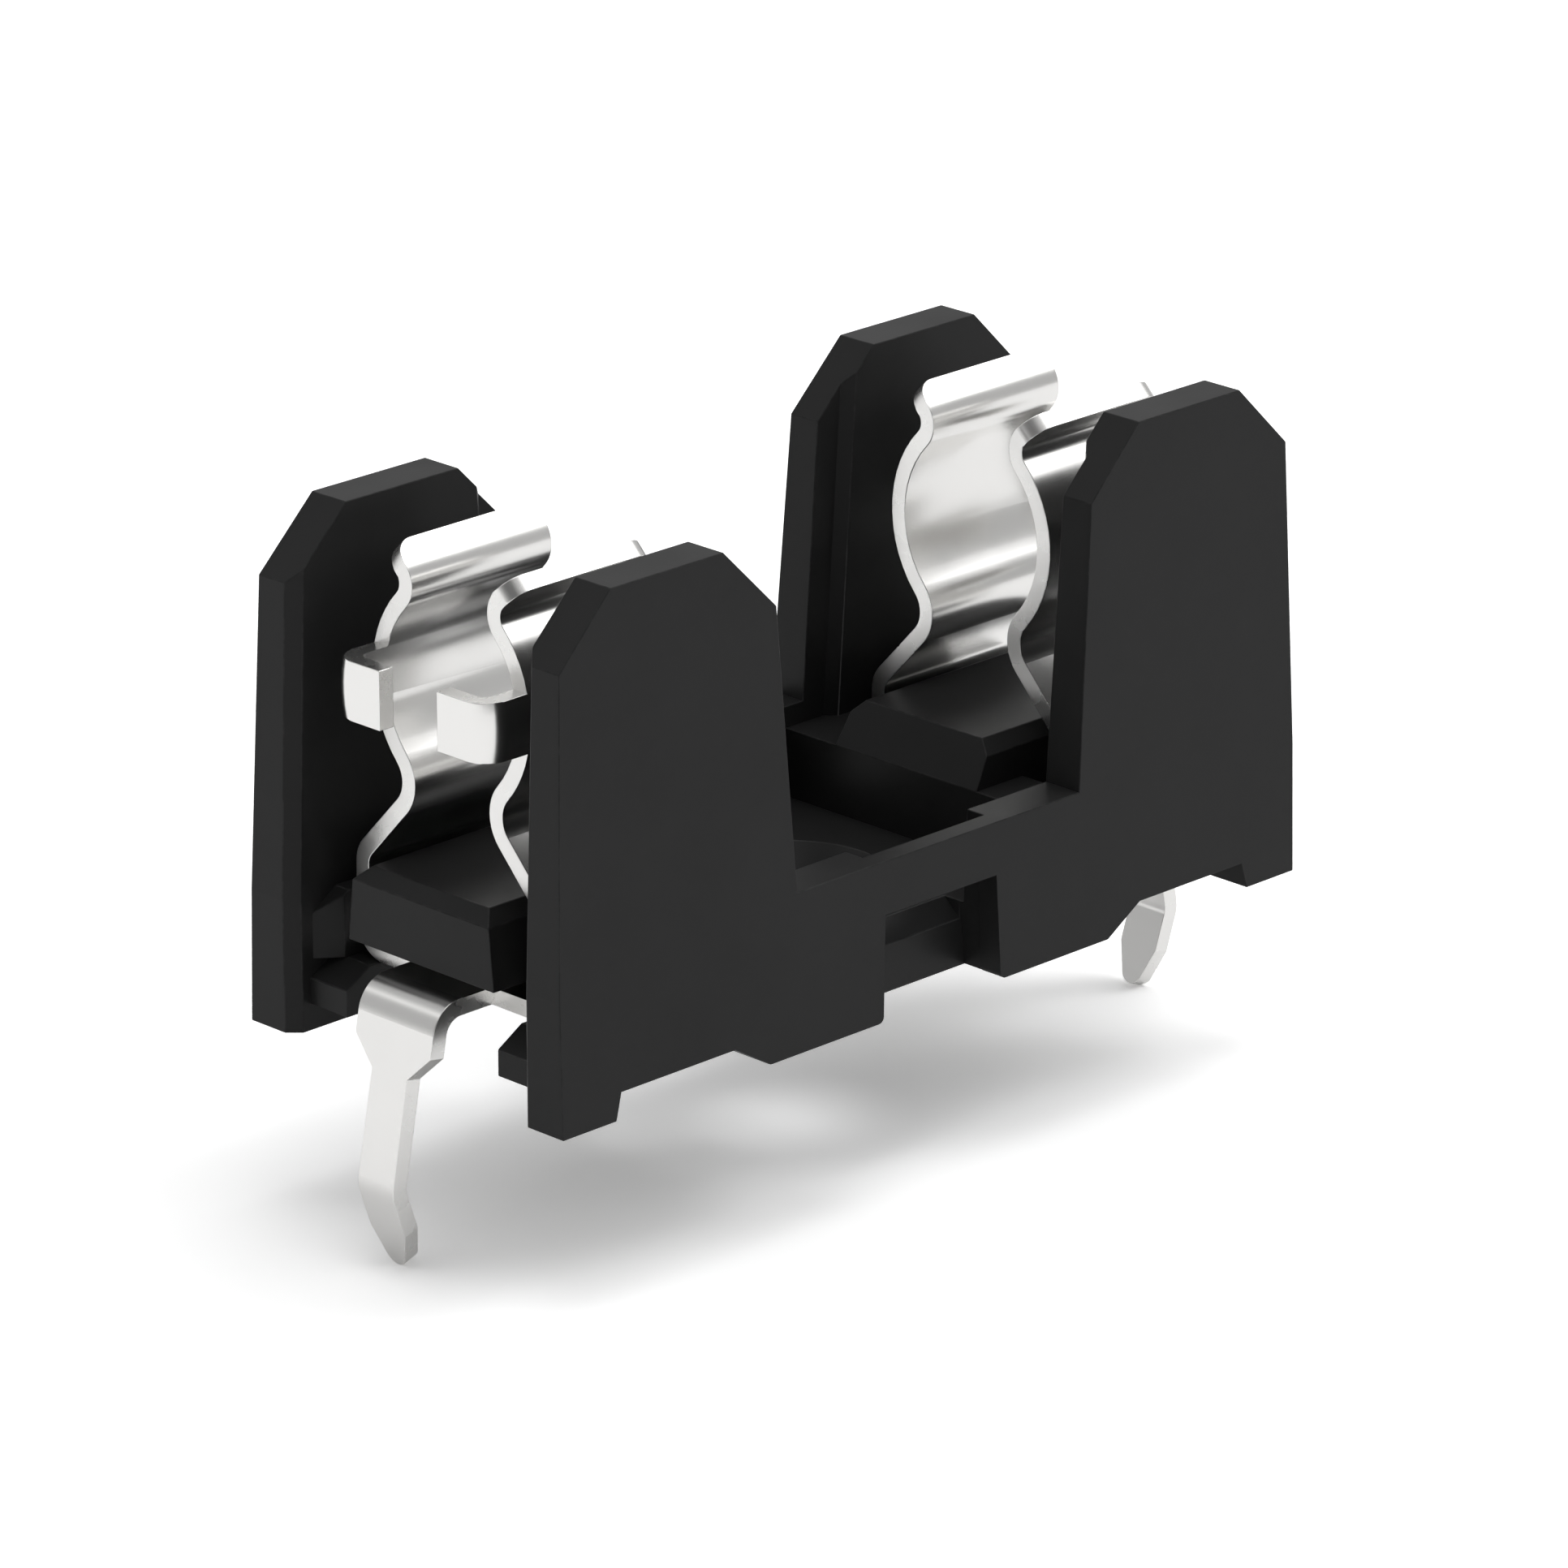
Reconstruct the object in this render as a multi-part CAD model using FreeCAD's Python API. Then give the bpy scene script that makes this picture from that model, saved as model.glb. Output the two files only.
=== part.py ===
import FreeCAD, Part
import math
import os

# Open holder that fastens one cartridge fuse of 5 x 20 mm on a printed circuit board.
# A moulded base carries two folded contact clips, one at each end of the fuse.
# X runs along the fuse, Y across it and Z up. The origin is the middle of the plane
# that sits on the board. All sizes are in millimetres. A size whose name ends in y or
# height is a place on that axis, and half means from the middle plane.

# Fuse
fuse_length = 20.00
fuse_end_room = 0.55
fuse_axis_height = 8.10

# Overall size of the base
base_width = 9.60
base_height = 11.50
upright_end_height = 3.00
end_draft_inset = 0.24
side_draft_inset = 0.30

# Corner walls
wall_thickness = 1.345
wall_corner = 1.50
wall_set_in = 0.55
wall_lean_run = 0.45
end_edge_chamfer = 0.28
thin_wall_relief = 0.245
thin_wall_length = 0.66

# Low rail between the corner walls, with a slot and a side window
rail_height = 3.60
rail_skin = 0.60
slot_width = 0.60
slot_bottom_half = 1.92
slot_waist_half = 1.75
slot_top_half = 1.85
window_bottom_half = 1.80
window_top_half = 1.70
window_height = 2.40
window_corner_radius = 0.15

# Feet and the shallow reliefs between them
end_foot_length = 1.53
end_foot_slope = 0.16
middle_foot_slope = 1.00
relief_height = 0.60

# Middle pocket with a countersunk screw hole in its floor
pocket_floor_height = 1.50
floor_hole_radius = 1.60
floor_sink_radius = 2.45
floor_sink_half_degrees = 45.0
floor_bevel_width = 0.465
floor_bevel_depth = 0.41

# Cross wall at each end of the pocket
shelf_height = 3.10
cross_wall_length = 1.485
web_seat_length = 0.445

# Saddle block that stands under the fuse between the arms of a clip
block_end_setback = 0.50
block_top_height = 4.10
block_side_draft = 0.135
block_chamfer_run = 0.315
block_chamfer_rise = 0.30
block_lean_degrees = 30.0

# Ledges and ribs that guide a clip
ledge_reach = 0.685
ledge_ramp_length = 0.68
ledge_ramp_drop = 0.40
rib_end_setback = 0.59
rib_ramp_length = 0.66
rib_ramp_drop = 0.46
rib_lead_length = 0.535

# Room between a clip and the base
rib_clearance = 0.03
arm_side_room = 0.455
arm_end_room = 0.52
block_side_room = 0.38
web_head_room = 0.41
tab_setback = 0.25

# Contact clip
sheet = 0.40
fold_radius = 0.40
clip_width = 4.00
web_bottom_height = 1.60
bulge_radius = 2.345
bulge_half_gap = 2.00
neck_half_gap = 1.13
lower_neck_radius = 1.00
upper_neck_radius = 0.70
flare_degrees = 43.0
lip_degrees = 45.0
lip_length = 0.53
lip_corner_radius = 0.50

# End stop tabs of a clip
tab_height = 1.32
tab_reach = 1.195
tab_half_gap = 0.87
tab_fold_radius = 0.20

# Tongue and solder pin of a clip
tongue_half_width = 1.15
tongue_length = 0.895
pin_lean_degrees = 10.5
pin_tip_lean_degrees = 19.0
shank_length = 3.445
shoulder_start = 0.50
shoulder_end = 1.10
pin_half_width = 0.54
pin_tip_length = 1.75
pin_taper_start = 0.85
pin_tip_radius = 0.30

# Room by which a cutting shape runs past the faces it opens
past = 1.0

# Places along X that follow, from the end inwards
tab_face_x = fuse_length / 2 + fuse_end_room + sheet
base_end_x = tab_face_x + tab_setback
clip_outer_x = tab_face_x - tab_reach
clip_inner_x = clip_outer_x - clip_width
block_end_x = base_end_x - block_end_setback
ledge_ridge_x = block_end_x - ledge_ramp_length
rib_end_x = base_end_x - rib_end_setback
rib_ridge_x = rib_end_x - rib_ramp_length
end_foot_x = base_end_x - end_foot_length
web_seat_x = clip_inner_x + web_seat_length
middle_foot_x = web_seat_x - middle_foot_slope
arm_slot_x = clip_inner_x - arm_end_room
pocket_end_x = arm_slot_x - cross_wall_length
wall_foot_x = pocket_end_x + wall_set_in
wall_shoulder_x = wall_foot_x + wall_lean_run

# Places along Y that follow, from the side inwards
half_width = base_width / 2
slot_outer_y = half_width - rail_skin
slot_inner_y = slot_outer_y - slot_width
wall_inner_y = half_width - wall_thickness
thin_wall_inner_y = wall_inner_y + thin_wall_relief
arm_outer_y = wall_inner_y - arm_side_room
rib_inner_y = arm_outer_y + rib_clearance
ledge_inner_y = arm_outer_y - ledge_reach
block_bottom_half = arm_outer_y - sheet - block_side_room
block_shoulder_half = block_bottom_half - block_side_draft
block_top_half = block_shoulder_half - block_chamfer_run
bulge_centre_y = bulge_half_gap - bulge_radius

# Places along Z that follow
wall_shoulder_height = base_height - wall_corner
block_shoulder_height = block_top_height - block_chamfer_rise
block_underside_height = web_bottom_height + sheet + web_head_room
web_middle_height = web_bottom_height + sheet / 2

# Lean along X, per unit of height, of the corner wall's face towards the middle and of its end
wall_lean = wall_lean_run / (wall_shoulder_height - rail_height)
end_lean = -end_draft_inset / (wall_shoulder_height - upright_end_height)


def vector(x, y, z):
    return FreeCAD.Vector(x, y, z)


def prism(points, sweep):
    """Solid made by moving a closed outline along a straight line."""
    return Part.Face(Part.makePolygon(points + [points[0]])).extrude(sweep)


def side_prism(outline, near_y, far_y):
    """Solid with an outline seen from the long side."""
    return prism([vector(x, near_y, z) for x, z in outline], vector(0, far_y - near_y, 0))


def end_prism(outline, near_x, far_x):
    """Solid with an outline seen from the end."""
    return prism([vector(near_x, y, z) for y, z in outline], vector(far_x - near_x, 0, 0))


def plan_prism(outline, bottom, top, lean=0.0):
    """Solid with an outline seen from above, which moves along X by lean per unit of height."""
    height = top - bottom
    return prism([vector(x, y, bottom) for x, y in outline], vector(lean * height, 0, height))


def with_mirror_image(shape, normal):
    """The shape joined with its mirror image in a plane through the origin."""
    return shape.fuse(shape.mirror(vector(0, 0, 0), normal)).removeSplitter()


def edges_through(shape, x, z):
    """The edges of a shape that run along Y through a place of the side view."""
    middle = vector(x, 0, z)
    near = window_corner_radius / 10
    return [edge for edge in shape.Edges
            if (vector(edge.CenterOfMass.x, 0, edge.CenterOfMass.z) - middle).Length < near]


def long_side():
    """One half of a long side: half the rail and one corner wall with its foot."""
    end_shoulder_x = base_end_x - end_draft_inset
    side = side_prism([
        (0, window_height),
        (window_top_half, window_height),
        (window_bottom_half, 0),
        (middle_foot_x, 0),
        (web_seat_x, relief_height),
        (end_foot_x - end_foot_slope, relief_height),
        (end_foot_x, 0),
        (base_end_x, 0),
        (base_end_x, upright_end_height),
        (end_shoulder_x, wall_shoulder_height),
        (end_shoulder_x - wall_corner, base_height),
        (wall_shoulder_x + wall_corner, base_height),
        (wall_shoulder_x, wall_shoulder_height),
        (wall_foot_x, rail_height),
        (0, rail_height),
    ], wall_inner_y, half_width)
    side = side.makeFillet(window_corner_radius, edges_through(side, window_bottom_half, 0))
    drafted = end_prism([
        (0, 0),
        (half_width, 0),
        (half_width - side_draft_inset, base_height),
        (0, base_height),
    ], 0, base_end_x)
    return side.common(drafted)


def end_edge_cut():
    """Room cut by the chamfer along the inner edge of a corner wall's end face."""
    chamfer_x = base_end_x - end_edge_chamfer
    outline = [
        (chamfer_x, wall_inner_y),
        (base_end_x + past, wall_inner_y + end_edge_chamfer + past),
        (base_end_x + past, wall_inner_y - past),
        (chamfer_x - past, wall_inner_y - past),
    ]
    lower = plan_prism(outline, -past, upright_end_height)
    upper = plan_prism(outline, upright_end_height, base_height + past, end_lean)
    return lower.fuse(upper)


def thin_wall_cut():
    """Room that makes the rail and the nearby end of a corner wall thinner."""
    ramp_x = wall_foot_x - wall_lean * (rail_height - shelf_height) + thin_wall_length
    outline = [
        (-past, wall_inner_y - past),
        (ramp_x + thin_wall_relief + past, wall_inner_y - past),
        (ramp_x, thin_wall_inner_y),
        (-past, thin_wall_inner_y),
    ]
    return plan_prism(outline, shelf_height, base_height + past, wall_lean)


def slot_cut():
    """Room of the upright slot behind the middle of the rail."""
    return side_prism([
        (-past, -past),
        (slot_bottom_half, -past),
        (slot_bottom_half, 0),
        (slot_waist_half, pocket_floor_height),
        (slot_top_half, rail_height),
        (slot_top_half, rail_height + past),
        (-past, rail_height + past),
    ], slot_inner_y, slot_outer_y)


def pocket_cut():
    """Room of the middle pocket, its countersunk hole and the bevel of its floor at the slot."""
    pocket = side_prism([
        (-past, pocket_floor_height),
        (pocket_end_x, pocket_floor_height),
        (pocket_end_x, base_height + past),
        (-past, base_height + past),
    ], -past, thin_wall_inner_y)
    hole = Part.makeCylinder(
        floor_hole_radius, pocket_floor_height + 2 * past, vector(0, 0, -past))
    slope = math.tan(math.radians(floor_sink_half_degrees))
    sink_depth = (floor_sink_radius - floor_hole_radius) / slope
    sink_past = past / 10
    sink = Part.makeCone(
        floor_hole_radius, floor_sink_radius + sink_past * slope, sink_depth + sink_past,
        vector(0, 0, pocket_floor_height - sink_depth))
    bevel = end_prism([
        (slot_inner_y - floor_bevel_width, pocket_floor_height),
        (slot_inner_y, pocket_floor_height - floor_bevel_depth),
        (slot_inner_y, pocket_floor_height),
    ], -past, slot_waist_half)
    return pocket.fuse([hole, sink, bevel])


def floor_and_cross_wall():
    """Floor of the pocket and the wall at its end, with a step under the clip's inner edge."""
    return side_prism([
        (0, 0),
        (middle_foot_x, 0),
        (web_seat_x, relief_height),
        (web_seat_x, web_bottom_height),
        (arm_slot_x, web_bottom_height),
        (arm_slot_x, shelf_height),
        (0, shelf_height),
    ], 0, slot_outer_y)


def saddle_block():
    """Block under the fuse, as one half of its width."""
    lean_run = (block_top_height - shelf_height) * math.tan(math.radians(block_lean_degrees))
    side_view = side_prism([
        (pocket_end_x, block_underside_height),
        (block_end_x, block_underside_height),
        (block_end_x, block_shoulder_height),
        (block_end_x - block_chamfer_run, block_top_height),
        (pocket_end_x + lean_run, block_top_height),
        (pocket_end_x, shelf_height),
    ], 0, half_width)
    end_view = end_prism([
        (0, block_underside_height),
        (block_bottom_half, block_underside_height),
        (block_shoulder_half, block_shoulder_height),
        (block_top_half, block_top_height),
        (0, block_top_height),
    ], 0, base_end_x)
    return side_view.common(end_view)


def clip_guide():
    """Ledge under one edge of a clip's web and the rib beside the clip's arm."""
    ledge = side_prism([
        (middle_foot_x, relief_height),
        (block_end_x, relief_height),
        (block_end_x, web_bottom_height - ledge_ramp_drop),
        (ledge_ridge_x, web_bottom_height),
        (middle_foot_x, web_bottom_height),
    ], ledge_inner_y, slot_outer_y)
    rib = side_prism([
        (middle_foot_x, web_bottom_height),
        (rib_end_x, web_bottom_height),
        (rib_end_x, shelf_height - rib_ramp_drop),
        (rib_ridge_x, shelf_height),
        (middle_foot_x, shelf_height),
    ], rib_inner_y, slot_outer_y)
    lead_in = plan_prism([
        (rib_end_x, wall_inner_y),
        (rib_end_x - rib_lead_length, rib_inner_y),
        (rib_end_x - rib_lead_length, rib_inner_y - past),
        (rib_end_x + past, rib_inner_y - past),
        (rib_end_x + past, wall_inner_y),
    ], web_bottom_height, shelf_height + past)
    return ledge.fuse(rib.cut(lead_in))


def base_moulding():
    """The whole base, made as one quarter and mirrored twice."""
    side = long_side().cut(end_edge_cut())
    blank = side.fuse([floor_and_cross_wall(), clip_guide()])
    quarter = blank.cut([thin_wall_cut(), pocket_cut(), slot_cut()]).fuse(saddle_block())
    return with_mirror_image(with_mirror_image(quarter, vector(1, 0, 0)), vector(0, 1, 0))


def turned(point, centre, degrees):
    """A point of a plane turned about a centre."""
    angle = math.radians(degrees)
    du = point[0] - centre[0]
    dv = point[1] - centre[1]
    return (centre[0] + du * math.cos(angle) - dv * math.sin(angle),
            centre[1] + du * math.sin(angle) + dv * math.cos(angle))


def straight(length):
    """Move along a folded sheet without a bend."""
    return (length, 0, 0)


def bend(degrees, inside_radius):
    """Move around a bend of a folded sheet, to the left when the degrees are positive."""
    return (0, degrees, inside_radius)


def bend_centre(point, heading, degrees, inside_radius):
    """Centre of the bend that starts at a point of the sheet's middle."""
    reach = math.copysign(inside_radius + sheet / 2, degrees)
    angle = math.radians(heading)
    return (point[0] - reach * math.sin(angle), point[1] + reach * math.cos(angle))


def follow(start, heading, moves):
    """Places along the middle of a folded sheet, as (point, heading) around each move."""
    places = [(start, heading)]
    for length, degrees, inside_radius in moves:
        point, heading = places[-1]
        if degrees == 0:
            angle = math.radians(heading)
            point = (point[0] + length * math.cos(angle), point[1] + length * math.sin(angle))
        else:
            centre = bend_centre(point, heading, degrees, inside_radius)
            point = turned(point, centre, degrees)
        places.append((point, heading + degrees))
    return places


def sheet_side(places, side):
    """Points of one side of a folded sheet. The side is 1 on the left and -1 on the right."""
    points = []
    for point, heading in places:
        angle = math.radians(heading)
        offset = side * sheet / 2
        points.append((point[0] - offset * math.sin(angle), point[1] + offset * math.cos(angle)))
    return points


def folded_strip(start, heading, moves, place):
    """Face of a folded sheet seen on its edge. place turns a point of the plane into space."""
    places = follow(start, heading, moves)
    left = sheet_side(places, 1)
    right = sheet_side(places, -1)
    edges = [
        Part.LineSegment(place(*left[0]), place(*right[0])).toShape(),
        Part.LineSegment(place(*left[-1]), place(*right[-1])).toShape(),
    ]
    for points in (left, right):
        for index, (length, degrees, inside_radius) in enumerate(moves):
            first = points[index]
            last = points[index + 1]
            if degrees == 0:
                edges.append(Part.LineSegment(place(*first), place(*last)).toShape())
                continue
            centre = bend_centre(*places[index], degrees, inside_radius)
            halfway = turned(first, centre, degrees / 2)
            edges.append(Part.Arc(place(*first), place(*halfway), place(*last)).toShape())
    return Part.Face(Part.Wire(Part.__sortEdges__(edges)))


def neck(outside_radius):
    """Rise from the fuse's axis to the centre of a neck's bend, and the lean where they meet."""
    across = neck_half_gap + outside_radius - bulge_centre_y
    rise = math.sqrt((bulge_radius + outside_radius) ** 2 - across ** 2)
    return rise, math.degrees(math.atan2(rise, across))


def arm_moves():
    """Path of half a clip, from the middle of its web to the lip of one arm."""
    lower_rise, lower_lean = neck(lower_neck_radius)
    upper_lean = neck(upper_neck_radius)[1]
    flare = math.radians(flare_degrees)
    fold_middle = fold_radius + sheet / 2
    neck_middle = lower_neck_radius - sheet / 2
    neck_start_y = neck_half_gap + lower_neck_radius - neck_middle * math.cos(flare)
    neck_start_z = fuse_axis_height - lower_rise - neck_middle * math.sin(flare)
    flare_start_y = arm_outer_y - sheet / 2 - fold_middle * (1 - math.cos(flare))
    flare_length = (flare_start_y - neck_start_y) / math.sin(flare)
    fold_start_z = neck_start_z - flare_length * math.cos(flare) - fold_middle * math.sin(flare)
    return [
        straight(arm_outer_y - sheet - fold_radius),
        bend(90, fold_radius),
        straight(fold_start_z - web_middle_height - fold_middle),
        bend(flare_degrees, fold_radius),
        straight(flare_length),
        bend(-flare_degrees - lower_lean, lower_neck_radius - sheet),
        bend(lower_lean + upper_lean, bulge_radius),
        bend(-upper_lean - lip_degrees, upper_neck_radius - sheet),
        straight(lip_length),
    ]


def arm():
    """Half of the web and one arm, with rounded corners on the lip."""
    strip = folded_strip(
        (0, web_middle_height), 0, arm_moves(), lambda y, z: vector(-clip_outer_x, y, z))
    solid = strip.extrude(vector(clip_width, 0, 0))
    lip_corners = [edge for edge in solid.Edges
                   if abs(edge.Length - sheet) < sheet / 100
                   and edge.CenterOfMass.z > fuse_axis_height + bulge_radius]
    return solid.makeFillet(lip_corner_radius, lip_corners)


def round_edge(shape, radius, x):
    """The arc of a shape that has a radius and lies on a plane across X."""
    return [edge for edge in shape.Edges
            if isinstance(edge.Curve, Part.Circle) and abs(edge.Curve.Radius - radius) < sheet / 100
            and edge.BoundBox.XLength < sheet / 100 and abs(edge.CenterOfMass.x - x) < sheet / 100]


def tab():
    """End stop tab. Its root is curved like the arm and its tip is flat."""
    along = vector(1, 0, 0)
    inner_face_x = -tab_face_x + sheet
    outer_radius = bulge_radius + sheet
    outside = Part.makeCylinder(
        outer_radius, tab_reach, vector(-tab_face_x, bulge_centre_y, fuse_axis_height), along)
    inside = Part.makeCylinder(
        bulge_radius, tab_reach, vector(inner_face_x, bulge_centre_y, fuse_axis_height), along)
    band = Part.makeBox(
        tab_reach, outer_radius, tab_height,
        vector(-tab_face_x, tab_half_gap, fuse_axis_height - tab_height / 2))
    blank = outside.cut(inside).common(band)
    folded = blank.makeFillet(
        tab_fold_radius + sheet, round_edge(blank, outer_radius, -tab_face_x))
    return folded.makeFillet(tab_fold_radius, round_edge(folded, bulge_radius, inner_face_x))


def width_cutter(place, one_side, end_edges, depth):
    """Solid that trims the width of a sheet, square to the sheet.

    The outline lies in the middle of the sheet, with its first coordinate along the
    heading of the place and its second across the sheet. It is one side, its mirror
    image, the edges of its far end and a straight near end. The sheet is seen along Y.
    """
    point, heading = place
    near = [vector(along, across, 0) for along, across in one_side]
    far = [vector(along, -across, 0) for along, across in one_side]
    edges = Part.makePolygon(near).Edges + Part.makePolygon(far).Edges + end_edges
    edges += Part.makePolygon([near[0], far[0]]).Edges
    solid = Part.Face(Part.Wire(Part.__sortEdges__(edges))).extrude(vector(0, 0, 2 * depth))
    solid.translate(vector(0, 0, -depth))
    solid.rotate(vector(0, 0, 0), vector(0, 1, 0), -heading)
    solid.translate(vector(point[0], 0, point[1]))
    return solid


def shoulder_cutter(place, reach):
    """Trims the tongue to its shoulders and to the width of the pin below them."""
    one_side = [
        (-reach, tongue_half_width),
        (shoulder_start, tongue_half_width),
        (shoulder_end, pin_half_width),
        (reach, pin_half_width),
    ]
    end = Part.makePolygon([vector(reach, pin_half_width, 0), vector(reach, -pin_half_width, 0)])
    return width_cutter(place, one_side, end.Edges, reach)


def tip_cutter(place, reach):
    """Trims the pin to its tip: a taper on each side that runs into a round end."""
    centre = pin_tip_length - pin_tip_radius
    run = centre - pin_taper_start
    taper = (math.atan2(pin_half_width, run)
             - math.asin(pin_tip_radius / math.hypot(run, pin_half_width)))
    touch_along = centre + pin_tip_radius * math.sin(taper)
    touch_across = pin_tip_radius * math.cos(taper)
    one_side = [
        (-reach, tongue_half_width),
        (0, tongue_half_width),
        (0, pin_half_width),
        (pin_taper_start, pin_half_width),
        (touch_along, touch_across),
    ]
    end = Part.Arc(
        vector(touch_along, touch_across, 0),
        vector(pin_tip_length, 0, 0),
        vector(touch_along, -touch_across, 0)).toShape()
    return width_cutter(place, one_side, [end], reach)


def pin():
    """Tongue and solder pin."""
    start = (-clip_outer_x, web_middle_height)
    moves = [
        straight(tongue_length),
        bend(90 - pin_lean_degrees, fold_radius),
        straight(shank_length),
        bend(pin_lean_degrees + pin_tip_lean_degrees, fold_radius),
        straight(pin_tip_length),
    ]
    strip = folded_strip(start, 180, moves, lambda x, z: vector(x, -tongue_half_width, z))
    blank = strip.extrude(vector(0, 2 * tongue_half_width, 0))
    places = follow(start, 180, moves)
    reach = tongue_length + shank_length + pin_tip_length
    return blank.common(shoulder_cutter(places[2], reach)).common(tip_cutter(places[4], reach))


def left_contact_clip():
    """The clip at the negative end of X: web, two arms with their tabs, and the pin."""
    arms = with_mirror_image(arm().fuse(tab()), vector(0, 1, 0))
    return arms.fuse(pin()).removeSplitter()


def save(name, shape):
    shape.exportStep(os.path.join("parts", name + ".step"))


os.makedirs("parts", exist_ok=True)
left_clip = left_contact_clip()
right_clip = left_clip.copy()
right_clip.rotate(vector(0, 0, 0), vector(0, 0, 1), 180)
save("base_moulding", base_moulding())
save("left_contact_clip", left_clip)
save("right_contact_clip", right_clip)
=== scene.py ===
"""Looks of an open fuse holder for circuit boards: a black moulded base and two tinned contact clips."""

import math

import bmesh
import bpy
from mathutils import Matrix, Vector
from mathutils.bvhtree import BVHTree
from mathutils.interpolate import poly_3d_calc


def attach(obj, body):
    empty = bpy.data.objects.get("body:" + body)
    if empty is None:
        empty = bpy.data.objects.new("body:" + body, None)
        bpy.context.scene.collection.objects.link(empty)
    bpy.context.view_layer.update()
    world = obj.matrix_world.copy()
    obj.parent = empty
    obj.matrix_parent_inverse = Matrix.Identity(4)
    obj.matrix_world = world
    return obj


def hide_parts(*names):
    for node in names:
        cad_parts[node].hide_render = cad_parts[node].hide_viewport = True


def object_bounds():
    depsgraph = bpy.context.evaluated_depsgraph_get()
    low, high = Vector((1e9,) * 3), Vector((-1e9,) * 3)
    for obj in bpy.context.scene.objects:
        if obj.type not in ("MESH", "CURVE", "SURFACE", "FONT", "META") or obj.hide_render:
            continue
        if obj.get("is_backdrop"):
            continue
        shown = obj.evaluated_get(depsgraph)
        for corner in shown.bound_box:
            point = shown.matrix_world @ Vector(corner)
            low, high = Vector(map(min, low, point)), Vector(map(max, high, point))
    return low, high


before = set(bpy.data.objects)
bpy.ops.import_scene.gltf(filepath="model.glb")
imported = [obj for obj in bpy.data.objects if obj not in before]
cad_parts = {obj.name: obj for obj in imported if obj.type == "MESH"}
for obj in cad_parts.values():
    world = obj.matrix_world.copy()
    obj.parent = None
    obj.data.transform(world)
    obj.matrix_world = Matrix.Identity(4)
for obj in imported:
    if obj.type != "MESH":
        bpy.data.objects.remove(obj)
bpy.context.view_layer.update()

bl_info = {
    "name": "Fuse holder for circuit boards",
    "version": (1, 0, 0),
    "blender": (4, 5, 0),
    "location": "3D View > Sidebar > Fuse holder",
    "description": "Moulded base, contact clips and studio of an open 5 x 20 mm fuse holder",
    "category": "Object",
}

MM = 0.001
BODY = "root"
BASE_NODE = "base_moulding"
CLIP_NODES = {"left_clip": "left_contact_clip", "right_clip": "right_contact_clip"}

# The face attribute that is 1 on softened edges
WEAR = "edge_wear"

# The turn between two faces that makes a crease, and the turn that still counts as flat
CREASE_DEGREES = 1.0
FLAT_DEGREES = 0.5

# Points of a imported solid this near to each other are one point, and a point this near to a triangle is on it
MERGE_DISTANCE = 0.002 * MM
NEAR_SURFACE = 0.002 * MM

# Two triangles face the same way if they agree to this many digits, and a blend of their directions that
# comes out shorter than this isn't used
FACING_DIGITS = 3
LEAST_BLEND = 0.5

# Outer creases over this angle are softened, each by a round strip of this many faces. Creases next to an
# edge shorter than this many edge radii are left as they are.
SOFTENED_DEGREES = 30.0
SOFTENED_STEPS = 2
SHORTEST_ON_PLASTIC = 2.0
SHORTEST_ON_SHEET = 1.5

# A broad side of the sheet has metal behind it for one thickness. The start of the probe, its reach and the
# least depth that counts are in thicknesses.
PROBE_START = 0.05
PROBE_REACH = 1.2
PROBE_LEAST = 0.75

# Most of a cloud of noise lies between these levels
CLOUD_LOW = 0.3
CLOUD_HIGH = 0.7

WHITE = (1.0, 1.0, 1.0, 1.0)


# Shader maths

class Signal:
    """One output socket of a node tree, with Python's operators for sums on values."""

    def __init__(self, recipe, socket):
        self.recipe = recipe
        self.socket = socket

    def maths(self, operation, first, second):
        return self.recipe.add("ShaderNodeMath", {"operation": operation}, {0: first, 1: second})

    def __add__(self, other):
        return self.maths("ADD", self, other)

    def __radd__(self, other):
        return self.maths("ADD", other, self)

    def __sub__(self, other):
        return self.maths("SUBTRACT", self, other)

    def __rsub__(self, other):
        return self.maths("SUBTRACT", other, self)

    def __mul__(self, other):
        return self.maths("MULTIPLY", self, other)

    def __rmul__(self, other):
        return self.maths("MULTIPLY", other, self)

    def __truediv__(self, other):
        return self.maths("DIVIDE", self, other)

    def __rtruediv__(self, other):
        return self.maths("DIVIDE", other, self)

    def __gt__(self, other):
        return self.maths("GREATER_THAN", self, other)

    def __lt__(self, other):
        return self.maths("LESS_THAN", self, other)

    def __abs__(self):
        return self.maths("ABSOLUTE", self, 0.0)


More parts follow.
